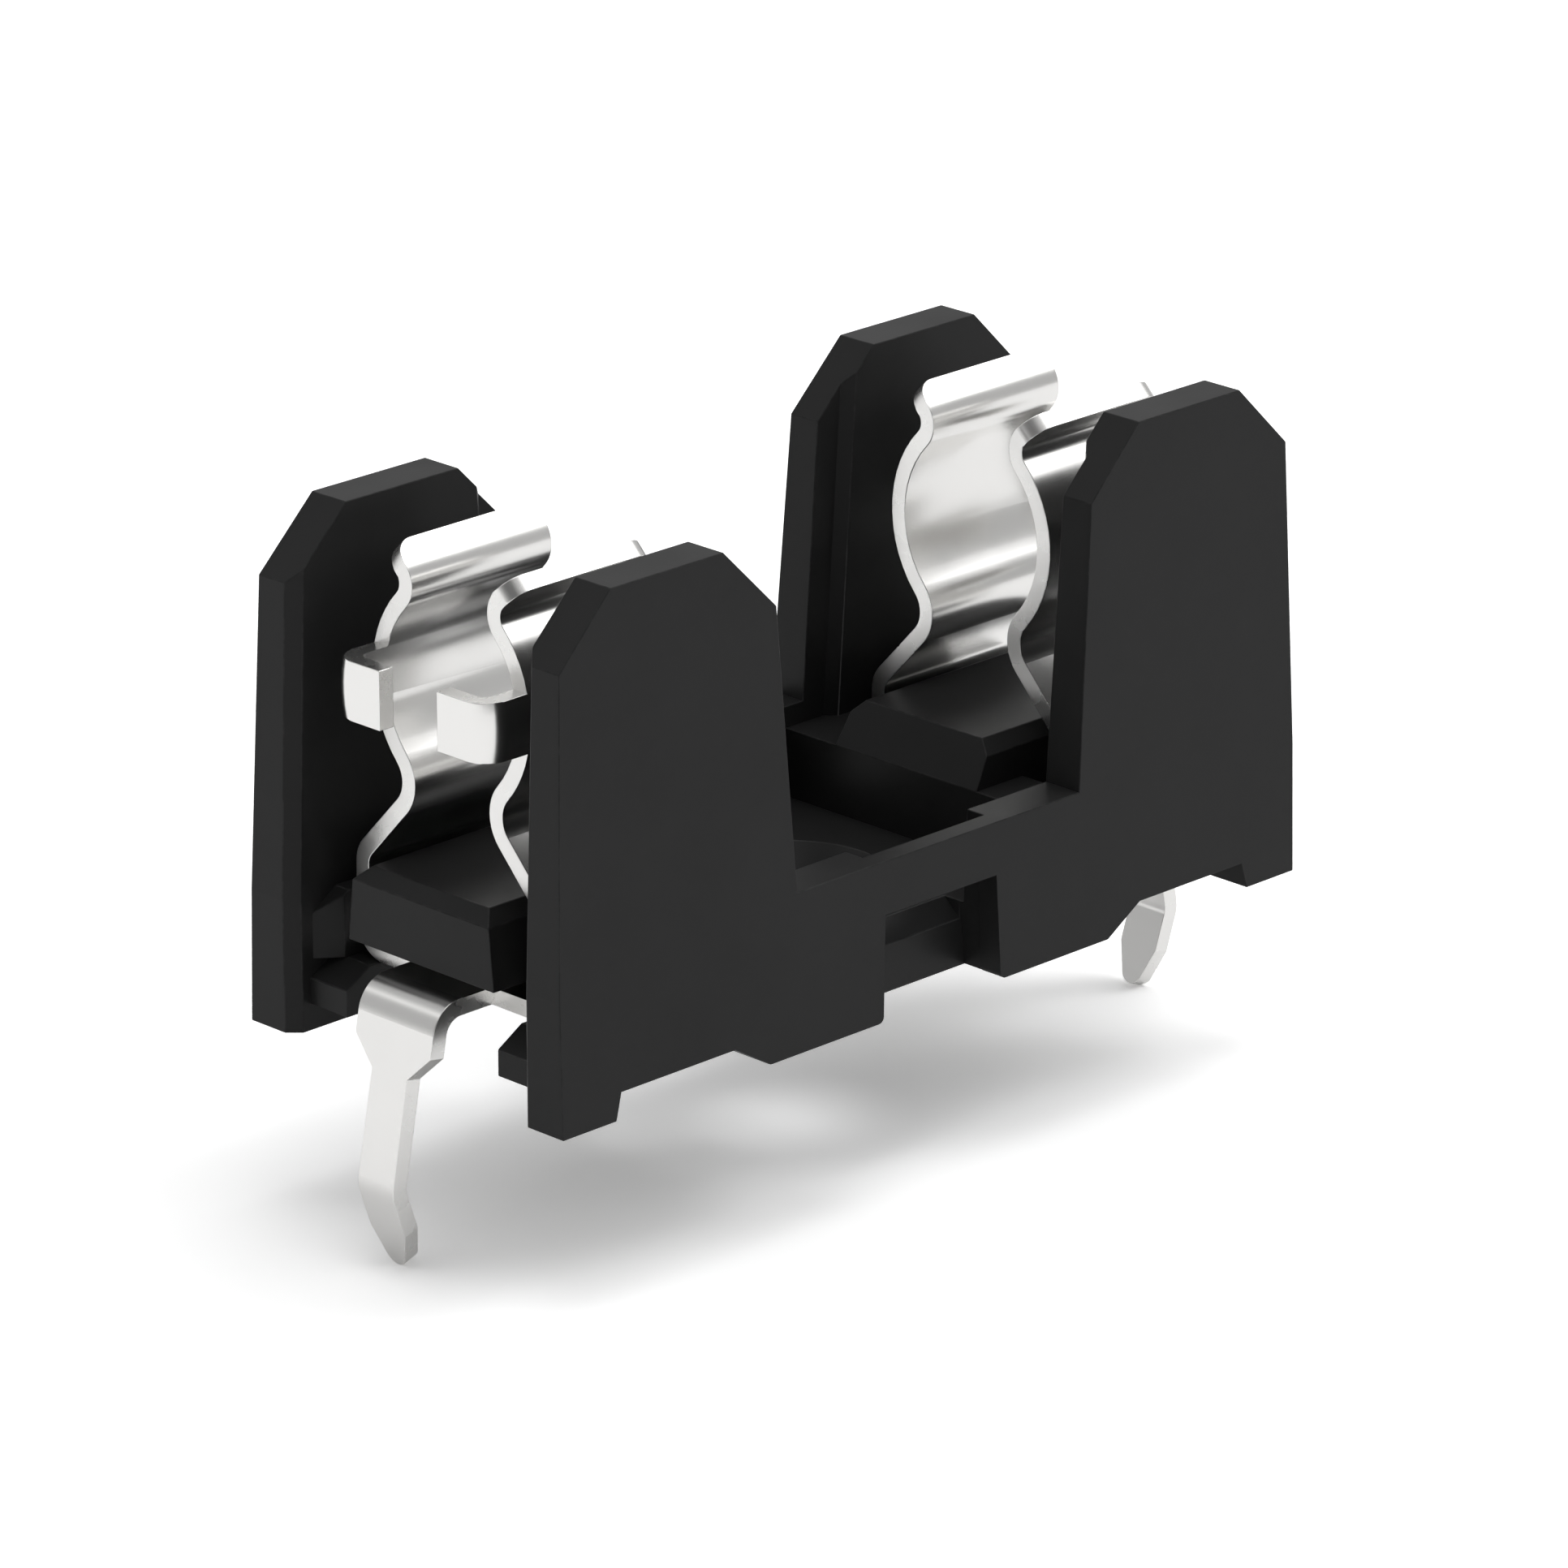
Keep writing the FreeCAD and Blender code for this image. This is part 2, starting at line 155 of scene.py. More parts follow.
class Recipe:
    """A node tree and the one method that adds a node to it."""

    def __init__(self, tree):
        self.tree = tree
        tree.nodes.clear()

    def add(self, kind, settings=(), inlets=(), outlet=0):
        """A new node with its settings and the values or links of its inlets. Returns one of its outlets."""
        node = self.tree.nodes.new(kind)
        for name, value in dict(settings).items():
            setattr(node, name, value)
        for name, value in dict(inlets).items():
            if isinstance(value, Signal):
                self.tree.links.new(value.socket, node.inputs[name])
            else:
                node.inputs[name].default_value = value
        return Signal(self, node.outputs[outlet]) if len(node.outputs) else None

    def scaled(self, place, across):
        """The place multiplied by one number for each axis, as a vector."""
        return self.add("ShaderNodeVectorMath", {"operation": "MULTIPLY"}, {0: place, 1: across})

    def cloud(self, place, size, detail=2.0, rough=0.5):
        """Soft noise between 0 and 1 whose blotches are about size metres wide."""
        return self.add("ShaderNodeTexNoise", {"noise_dimensions": "3D"}, {
            "Vector": place, "Scale": 1.0 / size, "Detail": detail, "Roughness": rough})

    def between(self, signal, low, high, start=0.0, end=1.0):
        """The signal's range low..high laid smoothly over start..end."""
        return self.add("ShaderNodeMapRange", {"interpolation_type": "SMOOTHSTEP"}, {
            "Value": signal, "From Min": low, "From Max": high, "To Min": start, "To Max": end})

    def varied(self, cloud, mean, spread):
        """A value that strays from its mean by up to the spread, as the cloud does from its middle."""
        return self.between(cloud, CLOUD_LOW, CLOUD_HIGH, mean - spread, mean + spread)

    def blend(self, factor, first, second):
        """A colour that goes from first to second as the factor goes from 0 to 1."""
        return self.add("ShaderNodeMix", {"data_type": "RGBA", "clamp_factor": True},
                        {0: factor, 6: first, 7: second}, outlet=2)

    def object_place(self):
        """The place on the piece, in metres."""
        return self.add("ShaderNodeTexCoord", outlet="Object")

    def wear(self):
        """1 on softened edges and 0 elsewhere."""
        return self.add("ShaderNodeAttribute", {"attribute_type": "GEOMETRY", "attribute_name": WEAR},
                        outlet="Fac")

    def bump(self, height, depth, strength=1.0):
        """The shading direction of a surface that a height from 0 to 1 raises by up to the depth."""
        return self.add("ShaderNodeBump", {}, {"Strength": strength, "Distance": depth, "Height": height})

    def finish(self, inlets):
        """The surface with these inlets, as the tree's output."""
        surface = self.add("ShaderNodeBsdfPrincipled", {}, inlets)
        self.add("ShaderNodeOutputMaterial", {}, {"Surface": surface})


def new_recipe(name):
    """A new material and the recipe of its node tree."""
    material = bpy.data.materials.new(name)
    material.use_nodes = True
    return material, Recipe(material.node_tree)


def rgba(colour, factor=1.0):
    """The colour times a factor, opaque."""
    return (colour[0] * factor, colour[1] * factor, colour[2] * factor, 1.0)


# Black plastic

# The waves of the melt are drawn out along the base, and add this much to the height of the grain
FLOW_STRETCH = (0.35, 1.0, 1.0)
FLOW_SHARE = 0.6

# The levels of the patches at which rubbing starts and is full, how pale it gets and how much it smooths
RUB_START = 0.42
RUB_FULL = 0.62
RUB_SHARE = 0.5
RUB_POLISH = 0.05


def moulded_black(settings):
    """Black plastic with the fine satin grain of an eroded mould, flow mottle and paler rubbed edges."""
    material, recipe = new_recipe("moulded_black")
    place = recipe.object_place()
    grain = recipe.cloud(place, settings.grain_size, detail=3.0, rough=0.6)
    mottle = recipe.cloud(place, settings.mottle_size, detail=3.0, rough=0.55)
    flow = recipe.cloud(recipe.scaled(place, FLOW_STRETCH), settings.flow_size)
    patches = recipe.cloud(place, settings.rub_size, detail=3.0, rough=0.6)
    rub = recipe.wear() * recipe.between(patches, RUB_START, RUB_FULL)
    tone = recipe.blend(mottle, rgba(settings.colour, 1.0 - settings.mottle_share),
                        rgba(settings.colour, 1.0 + settings.mottle_share))
    recipe.finish({
        "Base Color": recipe.blend(rub * RUB_SHARE, tone, rgba(settings.rubbed_colour)),
        "Roughness": recipe.varied(mottle, settings.roughness, settings.roughness_spread) - rub * RUB_POLISH,
        "IOR": settings.ior,
        "Normal": recipe.bump(grain + flow * FLOW_SHARE, settings.grain_depth, settings.grain_strength),
    })
    return material


# Tinned metal

# The rolling lines are drawn out across the clip and upwards, and the shear marks along the fuse's axis
ROLLING_STRETCH = (1.0, 0.05, 0.05)
SHEAR_STRETCH = (0.12, 1.0, 1.0)

# The darkest tone of the haze on the broad sides and on the cut edge, and how much lines and marks roughen
HAZE_TONE = 0.97
CUT_HAZE_TONE = 0.96
LINE_ROUGHENING = 0.02

# How far softened edges go to the dull colour
DULL_SHARE = 0.1


def tin_plate(settings):
    """Bright tin plating over rolled sheet: faint rolling lines, a soft haze and slightly dull edges."""
    material, recipe = new_recipe("tin_plate")
    place = recipe.object_place()
    haze = recipe.cloud(place, settings.haze_size, detail=3.0)
    lines = recipe.cloud(recipe.scaled(place, ROLLING_STRETCH), settings.line_spacing, rough=0.6)
    tone = recipe.blend(haze, rgba(settings.colour, HAZE_TONE), rgba(settings.colour))
    roughness = recipe.varied(haze, settings.roughness, settings.roughness_spread)
    recipe.finish({
        "Base Color": recipe.blend(recipe.wear() * DULL_SHARE, tone, rgba(settings.dull_colour)),
        "Metallic": 1.0,
        "Roughness": roughness + lines * LINE_ROUGHENING,
        "Normal": recipe.bump(lines, settings.line_depth),
    })
    return material


def cut_tin_plate(settings):
    """The plated cut edge of the sheet: a little duller, with short shear marks."""
    material, recipe = new_recipe("cut_tin_plate")
    place = recipe.object_place()
    haze = recipe.cloud(place, settings.edge_haze_size, detail=3.0)
    marks = recipe.cloud(recipe.scaled(place, SHEAR_STRETCH), settings.mark_spacing, detail=1.0)
    roughness = recipe.varied(haze, settings.edge_roughness, settings.edge_roughness_spread)
    recipe.finish({
        "Base Color": recipe.blend(haze, rgba(settings.colour, CUT_HAZE_TONE), rgba(settings.colour)),
        "Metallic": 1.0,
        "Roughness": roughness + marks * LINE_ROUGHENING,
        "Normal": recipe.bump(marks, settings.line_depth),
    })
    return material


# Meshes

class PackedSurface:
    """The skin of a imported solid, which gives the true direction of its curved faces at any point on it."""

    def __init__(self, node):
        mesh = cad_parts[node].data
        mesh.calc_loop_triangles()
        self.places = [vert.co.copy() for vert in mesh.vertices]
        self.corners = [tuple(part.vertices) for part in mesh.loop_triangles]
        self.facing = [[Vector(mesh.corner_normals[loop].vector) for loop in part.loops]
                       for part in mesh.loop_triangles]
        self.tree = BVHTree.FromPolygons(self.places, self.corners, all_triangles=True)

    def direction(self, point, facing):
        """The surface's direction at a point, on the side that faces nearest to the given way."""
        near = self.tree.find_nearest_range(point, NEAR_SURFACE)
        if not near:
            return facing
        index = max(near, key=lambda hit: (round(hit[1].dot(facing), FACING_DIGITS), -hit[3]))[2]
        shares = poly_3d_calc([self.places[corner] for corner in self.corners[index]], point)
        found = sum((way * share for way, share in zip(self.facing[index], shares)), Vector())
        return found.normalized() if found.length > LEAST_BLEND else facing


def check_closed(shape, name):
    """Stops the script if a shape has an open edge."""
    if any(not edge.is_manifold for edge in shape.edges):
        raise RuntimeError(f"{name} isn't closed")


def merged_copy(node):
    """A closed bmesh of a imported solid: its loose triangles joined, and its creases marked as sharp edges."""
    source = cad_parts[node].data
    shape = bmesh.new()
    shape.from_mesh(source)
    facing = shape.loops.layers.float_vector.new("facing")
    for face in shape.faces:
        for loop in face.loops:
            loop[facing] = source.corner_normals[loop.index].vector
    bmesh.ops.remove_doubles(shape, verts=shape.verts, dist=MERGE_DISTANCE)
    bmesh.ops.dissolve_degenerate(shape, dist=MERGE_DISTANCE / 2, edges=shape.edges)
    check_closed(shape, node)
    crease = math.radians(CREASE_DEGREES)
    for edge in shape.edges:
        edge.smooth = True
        for vert in edge.verts:
            first, second = (next(loop[facing] for loop in face.loops if loop.vert == vert)
                             for face in edge.link_faces)
            if first.angle(second, 0.0) > crease:
                edge.smooth = False
    shape.loops.layers.float_vector.remove(facing)
    bmesh.ops.dissolve_limit(shape, angle_limit=math.radians(FLAT_DEGREES), verts=shape.verts,
                             edges=shape.edges)
    check_closed(shape, node)
    return shape


def soften(shape, radius, shortest):
    """Rounds the outer creases by a small radius and marks the new faces as edge wear. Creases that end on an
    edge under the shortest length, in radii, are left as they are."""
    tight = {vert for edge in shape.edges if edge.calc_length() < radius * shortest for vert in edge.verts}
    edges = [edge for edge in shape.edges
             if not edge.smooth and edge.is_convex
             and edge.calc_face_angle(0.0) > math.radians(SOFTENED_DEGREES)
             and not tight.intersection(edge.verts)]
    wear = shape.faces.layers.float.new(WEAR)
    made = bmesh.ops.bevel(shape, geom=edges, offset=radius, offset_type="OFFSET", affect="EDGES",
                           segments=SOFTENED_STEPS, profile=0.5, material=-1, clamp_overlap=False,
                           loop_slide=True)
    for face in made["faces"]:
        face[wear] = 1.0
        for edge in face.edges:
            edge.smooth = True
    check_closed(shape, "a softened solid")


def mark_sheet_sides(shape, thickness):
    """Material 0 on the two broad sides of the sheet and 1 on its cut edge, by the depth of metal behind."""
    tree = BVHTree.FromBMesh(shape)
    for face in shape.faces:
        start = face.calc_center_median_weighted() - face.normal * thickness * PROBE_START
        depth = tree.ray_cast(start, -face.normal, thickness * PROBE_REACH)[3]
        face.material_index = 0 if depth is not None and depth > thickness * PROBE_LEAST else 1


def corner_directions(shape, surface):
    """Shading directions: the true surface's on the solid's own faces, turning smoothly over the softened
    edges."""
    wear = shape.faces.layers.float[WEAR]
    own = {}
    for face in shape.faces:
        if not face[wear]:
            for loop in face.loops:
                own[loop] = surface.direction(loop.vert.co, face.normal)
    directions = []
    for face in shape.faces:
        for loop in face.loops:
            if face[wear]:
                beside = [own[other] for other in loop.vert.link_loops if other in own]
                directions.append(max(beside, key=face.normal.dot) if beside else loop.vert.normal.copy())
            else:
                directions.append(own[loop])
    return directions


def finished_piece(shape, node, name, materials):
    """The object of a finished bmesh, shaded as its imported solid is, with its place in its mesh."""
    for face in shape.faces:
        face.smooth = True
    shape.normal_update()
    directions = corner_directions(shape, PackedSurface(node))
    mesh = bpy.data.meshes.new(name)
    shape.to_mesh(mesh)
    shape.free()
    if "custom_normal" in mesh.attributes:
        mesh.attributes.remove(mesh.attributes["custom_normal"])
    mesh.normals_split_custom_set(directions)
    for material in materials:
        mesh.materials.append(material)
    piece = bpy.data.objects.new(name, mesh)
    bpy.context.scene.collection.objects.link(piece)
    return piece


def hand_over(piece, node):
    """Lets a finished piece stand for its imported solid."""
    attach(piece, BODY)
    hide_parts(node)


# Settings

class PlasticSettings(bpy.types.PropertyGroup):
    """Sizes and colours of the moulded base."""
    colour: bpy.props.FloatVectorProperty(
        name="Colour", description="Colour of the black plastic",
        subtype="COLOR", size=3, min=0.0, max=1.0, default=(0.0175, 0.0175, 0.0177))
    rubbed_colour: bpy.props.FloatVectorProperty(
        name="Rubbed colour", description="Colour of edges that have been rubbed",
        subtype="COLOR", size=3, min=0.0, max=1.0, default=(0.034, 0.034, 0.034))
    mottle_share: bpy.props.FloatProperty(
        name="Mottle", description="How far the colour strays from its mean",
        default=0.22, min=0.0, max=1.0, subtype="FACTOR")
    roughness: bpy.props.FloatProperty(
        name="Roughness", description="Mean roughness of the satin surface", default=0.36, min=0.08, max=0.9)
    roughness_spread: bpy.props.FloatProperty(
        name="Roughness spread", description="How far the roughness strays from its mean",
        default=0.03, min=0.0, max=0.1)
    ior: bpy.props.FloatProperty(
        name="Refraction", description="Index of refraction, which sets how strongly the surface mirrors",
        default=1.23, min=1.0, max=2.0)
    edge_radius: bpy.props.FloatProperty(
        name="Edge radius", description="Radius of the moulded edges",
        default=0.025 * MM, min=0.0, unit="LENGTH", precision=6)
    mottle_size: bpy.props.FloatProperty(
        name="Mottle size", description="Width of the blotches in the colour",
        default=2.6 * MM, min=0.0, unit="LENGTH", precision=4)
    flow_size: bpy.props.FloatProperty(
        name="Flow size", description="Width of the waves that the melt leaves",
        default=0.9 * MM, min=0.0, unit="LENGTH", precision=4)
    rub_size: bpy.props.FloatProperty(
        name="Rub size", description="Length of the rubbed stretches of an edge",
        default=0.5 * MM, min=0.0, unit="LENGTH", precision=4)
    grain_size: bpy.props.FloatProperty(
        name="Grain size", description="Width of the mould's grain",
        default=0.09 * MM, min=0.0, unit="LENGTH", precision=5)
    grain_depth: bpy.props.FloatProperty(
        name="Grain depth", description="Depth of the mould's grain",
        default=0.0016 * MM, min=0.0, unit="LENGTH", precision=6)
    grain_strength: bpy.props.FloatProperty(
        name="Grain strength", description="Share of the grain that shows",
        default=0.5, min=0.0, max=1.0, subtype="FACTOR")


class MetalSettings(bpy.types.PropertyGroup):
    """Sizes and colours of the contact clips."""
    colour: bpy.props.FloatVectorProperty(
        name="Colour", description="Colour of the tin plating",
        subtype="COLOR", size=3, min=0.0, max=1.0, default=(0.85, 0.843, 0.828))
    dull_colour: bpy.props.FloatVectorProperty(
        name="Dull colour", description="Colour of the rubbed edges",
        subtype="COLOR", size=3, min=0.0, max=1.0, default=(0.70, 0.69, 0.67))
    roughness: bpy.props.FloatProperty(
        name="Roughness", description="Mean roughness of the sheet's broad sides",
        default=0.22, min=0.02, max=0.9)
    roughness_spread: bpy.props.FloatProperty(
        name="Roughness spread", description="How far that roughness strays from its mean",
        default=0.02, min=0.0, max=0.1)
    edge_roughness: bpy.props.FloatProperty(
        name="Edge roughness", description="Mean roughness of the sheet's cut edge",
        default=0.27, min=0.02, max=0.9)
    edge_roughness_spread: bpy.props.FloatProperty(
        name="Edge roughness spread", description="How far the cut edge's roughness strays from its mean",
        default=0.03, min=0.0, max=0.1)
    edge_radius: bpy.props.FloatProperty(
        name="Edge radius", description="Radius of the sheet's edges",
        default=0.02 * MM, min=0.0, unit="LENGTH", precision=6)
    thickness: bpy.props.FloatProperty(
        name="Sheet thickness", description="Thickness of the sheet that the clips are cut from",
        default=0.4 * MM, min=0.0, unit="LENGTH", precision=4)
    haze_size: bpy.props.FloatProperty(
        name="Haze size", description="Width of the haze's blotches on the broad sides",
        default=1.6 * MM, min=0.0, unit="LENGTH", precision=4)
    edge_haze_size: bpy.props.FloatProperty(
        name="Edge haze size", description="Width of the haze's blotches on the cut edge",
        default=0.8 * MM, min=0.0, unit="LENGTH", precision=4)
    line_spacing: bpy.props.FloatProperty(
        name="Rolling lines", description="Spacing of the rolling lines",
        default=0.06 * MM, min=0.0, unit="LENGTH", precision=5)
    mark_spacing: bpy.props.FloatProperty(
        name="Shear marks", description="Spacing of the shear marks on the cut edge",
        default=0.15 * MM, min=0.0, unit="LENGTH", precision=5)
    line_depth: bpy.props.FloatProperty(
        name="Line depth", description="Depth of the rolling lines and the shear marks",
        default=0.00006 * MM, min=0.0, unit="LENGTH", precision=6)


class StudioSettings(bpy.types.PropertyGroup):
    """Floor and camera."""
    floor_colour: bpy.props.FloatVectorProperty(
        name="Floor colour", description="Colour of the floor",
        subtype="COLOR", size=3, min=0.0, max=1.0, default=(0.92, 0.92, 0.92))
    mirrored_colour: bpy.props.FloatVectorProperty(
        name="Mirrored colour", description="Colour of the floor in reflections",
        subtype="COLOR", size=3, min=0.0, max=1.0, default=(1.0, 1.0, 1.0))
    mirrored_glow: bpy.props.FloatProperty(
        name="Mirrored glow", description="Level added to the floor in reflections", default=0.05, min=0.0)
    seen_colour: bpy.props.FloatVectorProperty(
        name="Seen colour", description="Colour of the floor as the camera sees it",
        subtype="COLOR", size=3, min=0.0, max=1.0, default=(1.0, 1.0, 1.0))
    seen_gain: bpy.props.FloatProperty(
        name="Seen gain", description="Brightness of the floor as the camera sees it", default=1.28, min=0.0)
    seen_glow: bpy.props.FloatProperty(
        name="Seen glow", description="Level that the camera sees in the deepest shadow",
        default=0.14, min=0.0)
    floor_half_size: bpy.props.FloatProperty(
        name="Floor size", description="Half the width of the floor", default=4.0, min=0.1, unit="LENGTH")
    camera_place: bpy.props.FloatVectorProperty(
        name="Camera place", description="Where the camera stands",
        subtype="TRANSLATION", size=3, unit="LENGTH", default=(-0.12497, -0.12497, 0.06802))
    camera_turn: bpy.props.FloatProperty(
        name="Camera turn", description="Direction the camera looks in, from +X towards +Y",
        subtype="ANGLE", default=math.radians(45.0))
    camera_dip: bpy.props.FloatProperty(
        name="Camera dip", description="Angle by which the camera looks down",
        subtype="ANGLE", default=math.radians(20.0))
    lens: bpy.props.FloatProperty(
        name="Lens", description="Focal length in millimetres", default=200.0, min=10.0, unit="CAMERA")


SETTINGS = {"fuse_holder_plastic": PlasticSettings, "fuse_holder_metal": MetalSettings,
            "fuse_holder_studio": StudioSettings}


# Operators

class FUSE_HOLDER_OT_moulded_base(bpy.types.Operator):
    """Make the moulded base, with softened edges and black satin plastic"""
    bl_idname = "fuse_holder.moulded_base"
    bl_label = "Moulded base"

    def execute(self, context):
        settings = context.scene.fuse_holder_plastic
        shape = merged_copy(BASE_NODE)
        soften(shape, settings.edge_radius, SHORTEST_ON_PLASTIC)
        piece = finished_piece(shape, BASE_NODE, "moulded_base", [moulded_black(settings)])
        hand_over(piece, BASE_NODE)
        return {"FINISHED"}


class FUSE_HOLDER_OT_contact_clips(bpy.types.Operator):
    """Make the two folded contact clips, with their solder pins and tin plating"""
    bl_idname = "fuse_holder.contact_clips"
    bl_label = "Contact clips"

    def execute(self, context):
        settings = context.scene.fuse_holder_metal
        materials = [tin_plate(settings), cut_tin_plate(settings)]
        for name, node in CLIP_NODES.items():
            shape = merged_copy(node)
            mark_sheet_sides(shape, settings.thickness)
            soften(shape, settings.edge_radius, SHORTEST_ON_SHEET)
            hand_over(finished_piece(shape, node, name, materials), node)
        return {"FINISHED"}


class FUSE_HOLDER_OT_studio(bpy.types.Operator):
    """Make the floor, the soft studio light and the camera"""
    bl_idname = "fuse_holder.studio"
    bl_label = "Studio"

    def execute(self, context):
        settings = context.scene.fuse_holder_studio
        lay_floor(settings)
        light_studio(context.scene)
        place_camera(context.scene, settings)
        return {"FINISHED"}


# Floor

FLOOR_ROUGHNESS = 0.9


def floor_paint(settings):
    """Plain pale paint. The camera sees it a little brighter than it is, so that only the shadow stays grey,
    and it is clear from below, so that the underside of the holder can be looked at."""
    material, recipe = new_recipe("floor_paint")
    seen = recipe.add("ShaderNodeLightPath", outlet="Is Camera Ray")
    mirrored = (recipe.add("ShaderNodeLightPath", outlet="Is Glossy Ray")
                + recipe.add("ShaderNodeLightPath", outlet="Is Transmission Ray"))
    below = recipe.add("ShaderNodeNewGeometry", outlet="Backfacing")
    colour = recipe.blend(mirrored, rgba(settings.floor_colour), rgba(settings.mirrored_colour))
    glow = recipe.blend(mirrored, rgba(settings.mirrored_colour, 0.0),
                        rgba(settings.mirrored_colour, settings.mirrored_glow))
    paint = recipe.add("ShaderNodeBsdfPrincipled", {}, {
        "Base Color": recipe.blend(seen, colour, rgba(settings.seen_colour, settings.seen_gain)),
        "Roughness": FLOOR_ROUGHNESS,
        "Specular IOR Level": 0.0,
        "Emission Color": recipe.blend(seen, glow, rgba(settings.seen_colour, settings.seen_glow)),
        "Emission Strength": 1.0,
    })
    clear = recipe.add("ShaderNodeBsdfTransparent", {}, {"Color": WHITE})
    surface = recipe.add("ShaderNodeMixShader", {}, {0: seen * below, 1: paint, 2: clear})
    recipe.add("ShaderNodeOutputMaterial", {}, {"Surface": surface})
    return material


def lay_floor(settings):
    """A level floor that the tips of the solder pins touch."""
    shape = bmesh.new()
    bmesh.ops.create_grid(shape, x_segments=1, y_segments=1, size=settings.floor_half_size)
    bmesh.ops.translate(shape, verts=shape.verts, vec=(0.0, 0.0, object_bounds()[0].z))
    mesh = bpy.data.meshes.new("studio_floor")
    shape.to_mesh(mesh)
    shape.free()
    mesh.materials.append(floor_paint(settings))
    floor = bpy.data.objects.new("studio_floor", mesh)
    bpy.context.scene.collection.objects.link(floor)
    floor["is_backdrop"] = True


# Light

# The softboxes of the studio dome, in groups that hang together. Each has the turn of its middle from +X
# towards +Y, its height above the floor, its half width and half height, and how far its edge fades, in
# degrees, and the level it adds.
KEY_SOFTBOXES = (
    ((316.0, 49.0), (29.0, 16.0), 4.0, 0.75),
    ((322.0, 49.0), (14.0, 11.0), 6.0, 1.1),
    ((326.0, 52.0), (7.0, 7.0), 5.0, 5.0),
    ((290.0, 38.0), (7.0, 6.0), 5.0, 0.4),
    ((334.0, 38.0), (7.0, 6.0), 5.0, 1.1),
)
FAR_LEFT_SOFTBOXES = (
    ((128.0, 43.0), (9.0, 7.0), 6.0, 0.8),
    ((153.0, 44.0), (9.0, 7.0), 6.0, 0.9),
)
BACK_SOFTBOXES = (
    ((18.0, 59.0), (16.0, 5.0), 5.0, 1.4),
    ((76.0, 51.0), (9.0, 6.0), 6.0, 1.15),
)
OVERHEAD_SOFTBOXES = (
    ((0.0, 90.0), (15.0, 15.0), 8.0, 1.6),
    ((330.0, 86.0), (8.0, 8.0), 6.0, 1.7),
    ((72.0, 78.0), (8.0, 7.0), 6.0, 0.35),
    ((322.0, 76.0), (8.0, 8.0), 6.0, 0.7),
    ((180.0, 77.0), (9.0, 7.0), 6.0, 1.0),
)
LOW_BACK_SOFTBOXES = (
    ((45.0, 18.0), (28.0, 14.0), 12.0, 0.15),
)
SOFTBOX_GROUPS = (KEY_SOFTBOXES, FAR_LEFT_SOFTBOXES, BACK_SOFTBOXES, OVERHEAD_SOFTBOXES, LOW_BACK_SOFTBOXES)

# The darker parts of the dome, at the left. Each has its middle, where its fading ends and starts, in degrees
# from its middle, and its depth.
DARK_SIDES = (
    ((192.0, 33.0), (6.0, 44.0), 0.34),
    ((228.0, 2.0), (8.0, 34.0), 0.18),
)

# The levels of the dome and of the ground below it, and how far above and below the horizon one turns into
# the other
DOME_LEVEL = 0.48
GROUND_LEVEL = 1.0
HORIZON_FADE = 0.002


def heading(turn, height):
    """The direction of a turn and a height in degrees."""
    turn, height = math.radians(turn), math.radians(height)
    return Vector((math.cos(turn) * math.cos(height), math.sin(turn) * math.cos(height), math.sin(height)))


def edge_slopes(half, soft):
    """Where a softbox's fading edge starts and ends, as the tangents of the angles from its middle."""
    return math.tan(math.radians(half - soft / 2)), math.tan(math.radians(half + soft / 2))


def group_reach(group):
    """The middle direction of a group of softboxes, and the angle from it that holds them all."""
    middle = sum((heading(*place) for place, half_sizes, soft, strength in group), Vector()).normalized()
    reach = 0.0
    for place, half_sizes, soft, strength in group:
        corner = math.hypot(*(edge_slopes(half, soft)[1] for half in half_sizes))
        reach = max(reach, middle.angle(heading(*place), 0.0) + math.atan(corner))
    return middle, reach


class Dome(Recipe):
    """The node tree of the studio's dome, which is worked out for the direction of each ray."""

    def __init__(self, tree):
        super().__init__(tree)
        self.ray = self.add("ShaderNodeTexCoord", outlet="Generated")

    def along(self, axis):
        """The cosine of the angle between the ray and a direction."""
        return self.add("ShaderNodeVectorMath", {"operation": "DOT_PRODUCT"}, {0: self.ray, 1: tuple(axis)},
                        outlet="Value")

    def light(self, level):
        """White light of a level."""
        return self.add("ShaderNodeBackground", {}, {"Color": WHITE, "Strength": level})

    def softbox(self, place, half_sizes, soft, strength):
        """The level that a softbox adds to rays on its side of the dome."""
        axis = heading(*place)
        right = heading(place[0] + 90.0, 0.0)
        front = self.along(axis)
        level = strength
        for side, half in zip((right, axis.cross(right)), half_sizes):
            level = level * self.between(abs(self.along(side) / front), *edge_slopes(half, soft), 1.0, 0.0)
        return level

    def softbox_group(self, group):
        """The light of a group of softboxes, which is only worked out for rays that come near it."""
        middle, reach = group_reach(group)
        level = self.softbox(*group[0])
        for other in group[1:]:
            level = level + self.softbox(*other)
        near = self.along(middle) > math.cos(reach)
        return self.add("ShaderNodeMixShader", {}, {0: near, 2: self.light(level)})


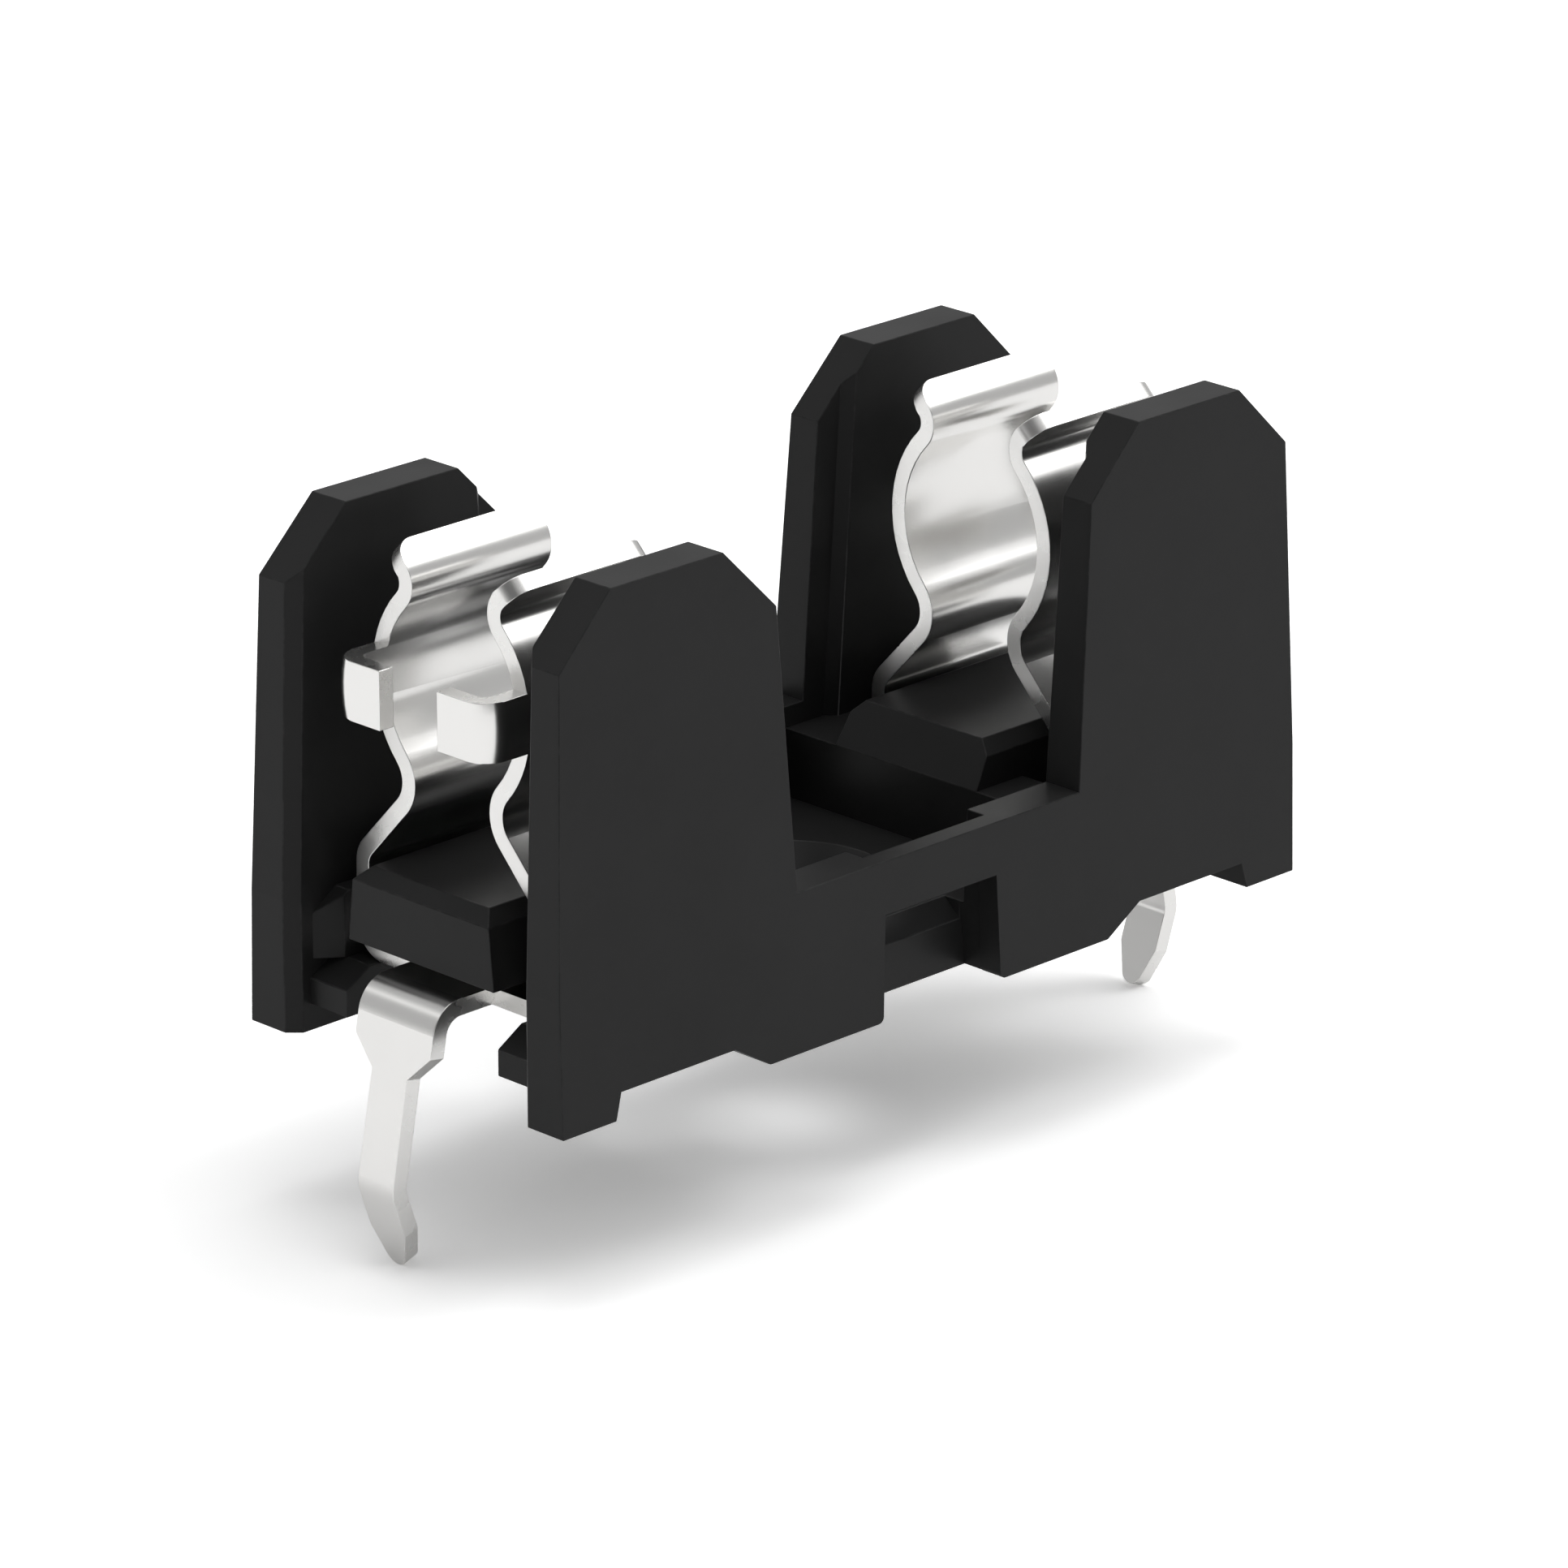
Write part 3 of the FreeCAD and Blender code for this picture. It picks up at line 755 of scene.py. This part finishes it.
def light_studio(scene):
    """A soft dome over a white ground, with softboxes at the front right, overhead and behind, and a darker
    left."""
    world = bpy.data.worlds.new("studio_dome")
    scene.world = world
    world.use_nodes = True
    dome = Dome(world.node_tree)
    level = DOME_LEVEL
    for place, (inner, outer), depth in DARK_SIDES:
        level = level - dome.between(dome.along(heading(*place)), math.cos(math.radians(outer)),
                                     math.cos(math.radians(inner)), 0.0, depth)
    sky = dome.light(level)
    for group in SOFTBOX_GROUPS:
        sky = dome.add("ShaderNodeAddShader", {}, {0: sky, 1: dome.softbox_group(group)})
    above = dome.between(dome.along((0.0, 0.0, 1.0)), -HORIZON_FADE, HORIZON_FADE)
    surface = dome.add("ShaderNodeMixShader", {}, {0: above, 1: dome.light(GROUND_LEVEL), 2: sky})
    dome.add("ShaderNodeOutputWorld", {}, {"Surface": surface})


# Camera

# The sensor's width in millimetres, and the nearest and farthest distance that the camera sees in metres
SENSOR_WIDTH = 36.0
NEAREST = 0.01
FARTHEST = 100.0


def place_camera(scene, settings):
    """The camera at the photograph's angle."""
    data = bpy.data.cameras.new("studio_camera")
    data.sensor_width = SENSOR_WIDTH
    data.lens = settings.lens
    data.clip_start = NEAREST
    data.clip_end = FARTHEST
    camera = bpy.data.objects.new("studio_camera", data)
    scene.collection.objects.link(camera)
    camera.location = settings.camera_place
    camera.rotation_euler = (math.radians(90.0) - settings.camera_dip, 0.0,
                             settings.camera_turn - math.radians(90.0))
    scene.camera = camera
    scene.view_settings.view_transform = "Standard"


# Add-on

OPERATORS = (FUSE_HOLDER_OT_moulded_base, FUSE_HOLDER_OT_contact_clips, FUSE_HOLDER_OT_studio)


class FUSE_HOLDER_PT_pieces(bpy.types.Panel):
    """Lists the pieces of the fuse holder with their settings"""
    bl_idname = "FUSE_HOLDER_PT_pieces"
    bl_label = "Fuse holder"
    bl_space_type = "VIEW_3D"
    bl_region_type = "UI"
    bl_category = "Fuse holder"

    def draw(self, context):
        for operator, group in zip(OPERATORS, SETTINGS):
            box = self.layout.box()
            box.operator(operator.bl_idname)
            for name in SETTINGS[group].__annotations__:
                box.prop(getattr(context.scene, group), name)


def register():
    for group, kind in SETTINGS.items():
        bpy.utils.register_class(kind)
        setattr(bpy.types.Scene, group, bpy.props.PointerProperty(type=kind))
    for kind in (*OPERATORS, FUSE_HOLDER_PT_pieces):
        bpy.utils.register_class(kind)


def unregister():
    for kind in (FUSE_HOLDER_PT_pieces, *reversed(OPERATORS)):
        bpy.utils.unregister_class(kind)
    for group, kind in reversed(SETTINGS.items()):
        delattr(bpy.types.Scene, group)
        bpy.utils.unregister_class(kind)


def main():
    register()
    bpy.ops.fuse_holder.moulded_base()
    bpy.ops.fuse_holder.contact_clips()
    bpy.ops.fuse_holder.studio()


if __name__ == "__main__":
    main()
